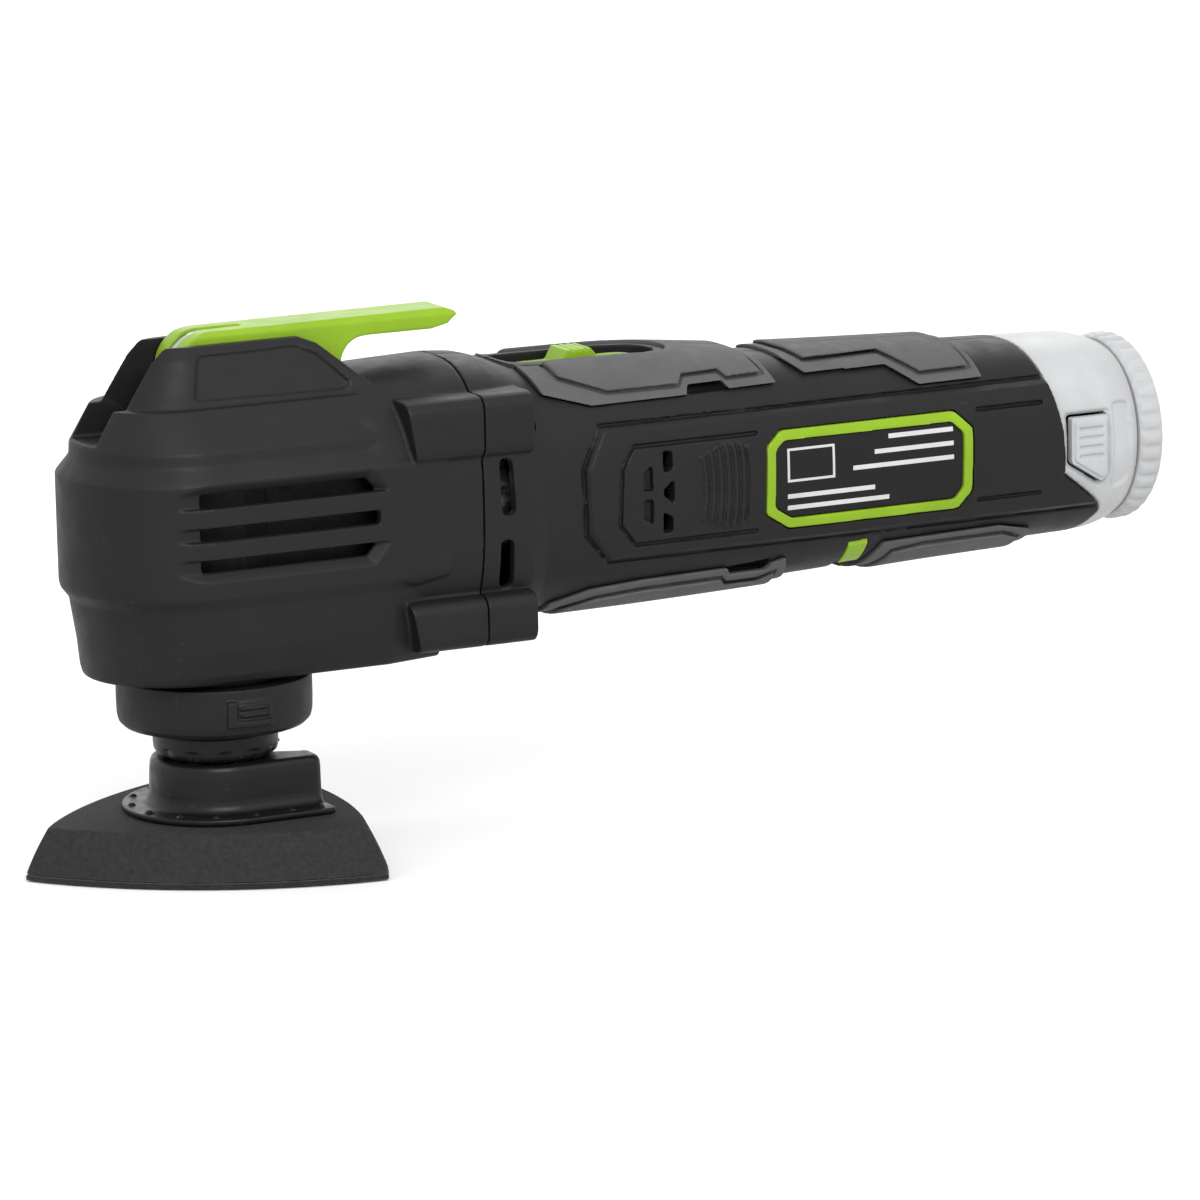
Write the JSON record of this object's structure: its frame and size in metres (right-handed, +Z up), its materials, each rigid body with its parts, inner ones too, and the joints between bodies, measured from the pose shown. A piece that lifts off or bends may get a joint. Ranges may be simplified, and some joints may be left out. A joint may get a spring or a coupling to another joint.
{
  "type": "oscillating multi tool",
  "caption": "Cordless oscillating multi tool with a delta sanding pad, quick-release clamp lever, slide switch and stick battery.",
  "frame": {"origin": "on the spindle axis, in the sole of the sanding pad", "axes": "+X runs along the handle to the battery end, +Z up the spindle axis to the lever, -Y is the side with the label"},
  "size_m": [0.2973, 0.085, 0.1266],
  "materials": {
    "black_plastic": "textured",
    "lever_green": "satin",
    "grip_rubber": "matt",
    "label": "satin",
    "steel": "machined",
    "zinc_screw": "bright",
    "die_cast": "cast",
    "painted_steel": "satin",
    "foam": "cellular",
    "hook": "hook tape",
    "armature_core": "laminated",
    "fan_plastic": "moulded",
    "module_plastic": "moulded",
    "board": "lacquered",
    "battery_plastic": "textured",
    "cell_wrap": "shrink wrap"
  },
  "bodies": {
    "tool_body": {"head_housing": "black_plastic", "nose_collar": "black_plastic", "handle_shell_left": "black_plastic", "handle_shell_right": "black_plastic", "grip_top_front_left": "grip_rubber", "grip_top_front_right": "grip_rubber", "grip_top_rear_left": "grip_rubber", "grip_top_rear_right": "grip_rubber", "grip_bottom_front_left": "grip_rubber", "grip_bottom_front_right": "grip_rubber", "grip_bottom_rear_left": "grip_rubber", "grip_bottom_rear_right": "grip_rubber", "label_border": "lever_green", "label_plate": "label", "head_screw_1": "zinc_screw", "head_screw_2": "zinc_screw", "head_screw_3": "zinc_screw", "head_screw_4": "zinc_screw", "shell_screw_1": "zinc_screw", "shell_screw_2": "zinc_screw", "shell_screw_3": "zinc_screw", "shell_screw_4": "zinc_screw", "gear_case": "die_cast", "gear_case_cover": "die_cast", "lower_bearing": "steel", "upper_bearing": "steel", "shaft_bearing": "steel", "motor_can": "steel", "motor_end_cap": "module_plastic", "lever_pin": "steel", "switch_module": "module_plastic", "control_board": "board", "dial_potentiometer": "module_plastic", "terminal_block": "module_plastic"},
    "rotor": {"motor_shaft": "steel", "armature": "armature_core", "fan": "fan_plastic", "eccentric": "steel", "eccentric_bearing": "steel"},
    "spindle_set": {"spindle": "steel", "fork": "steel", "tool_flange": "painted_steel", "pad_bracket": "painted_steel", "foam_pad": "foam", "hook_layer": "hook"},
    "clamp": {"clamp_bolt": "steel", "thrust_plate": "steel", "clamp_spring": "steel"},
    "release_lever": {"lever": "lever_green", "lever_insert": "steel"},
    "slide_switch": {"switch_slider": "lever_green"},
    "dial": {"speed_dial": "lever_green"},
    "battery": {"battery_case": "battery_plastic", "battery_end_cap": "battery_plastic", "battery_cell_1": "cell_wrap", "battery_cell_2": "cell_wrap", "battery_cell_3": "cell_wrap", "battery_board": "board"},
    "latch_left": {"latch_button_left": "battery_plastic"},
    "latch_right": {"latch_button_right": "battery_plastic"}
  },
  "joints": [
    {"name": "rotor_spin", "type": "hinge", "parent": "tool_body", "child": "rotor", "pos_m": [0.062, 0, 0.08], "axis": [1, 0, 0], "continuous": true},
    {"name": "spindle_swing", "type": "hinge", "parent": "tool_body", "child": "spindle_set", "pos_m": [0, 0, 0.08], "axis": [0, 0, 1], "range_deg": [-1.6, 1.6]},
    {"name": "clamp_slide", "type": "slide", "parent": "spindle_set", "child": "clamp", "axis": [0, 0, -1], "range_m": [0, 0.003], "deforming": ["clamp_spring"]},
    {"name": "lever_swing", "type": "hinge", "parent": "tool_body", "child": "release_lever", "pos_m": [0.0004, 0, 0.1155], "axis": [0, -1, 0], "range_deg": [0, 100]},
    {"name": "switch_slide", "type": "slide", "parent": "tool_body", "child": "slide_switch", "axis": [-1, 0, 0], "range_m": [0, 0.004]},
    {"name": "dial_turn", "type": "hinge", "parent": "tool_body", "child": "dial", "pos_m": [0.1615, 0, 0.0726], "axis": [1, 0, 0], "range_deg": [-135, 135]},
    {"name": "battery_slide", "type": "slide", "parent": "tool_body", "child": "battery", "axis": [1, 0, 0], "range_m": [0, 0.06]},
    {"name": "latch_left_press", "type": "slide", "parent": "battery", "child": "latch_left", "axis": [0, 1, 0], "range_m": [0, 0.002], "stiffness_N_per_m": 600, "springref_m": -0.002},
    {"name": "latch_right_press", "type": "slide", "parent": "battery", "child": "latch_right", "axis": [0, -1, 0], "range_m": [0, 0.002], "stiffness_N_per_m": 600, "springref_m": -0.002}
  ],
  "couplings": [
    {"joint": "clamp_slide", "follows": "lever_swing", "m_per_rad": 0.0017189}
  ]
}
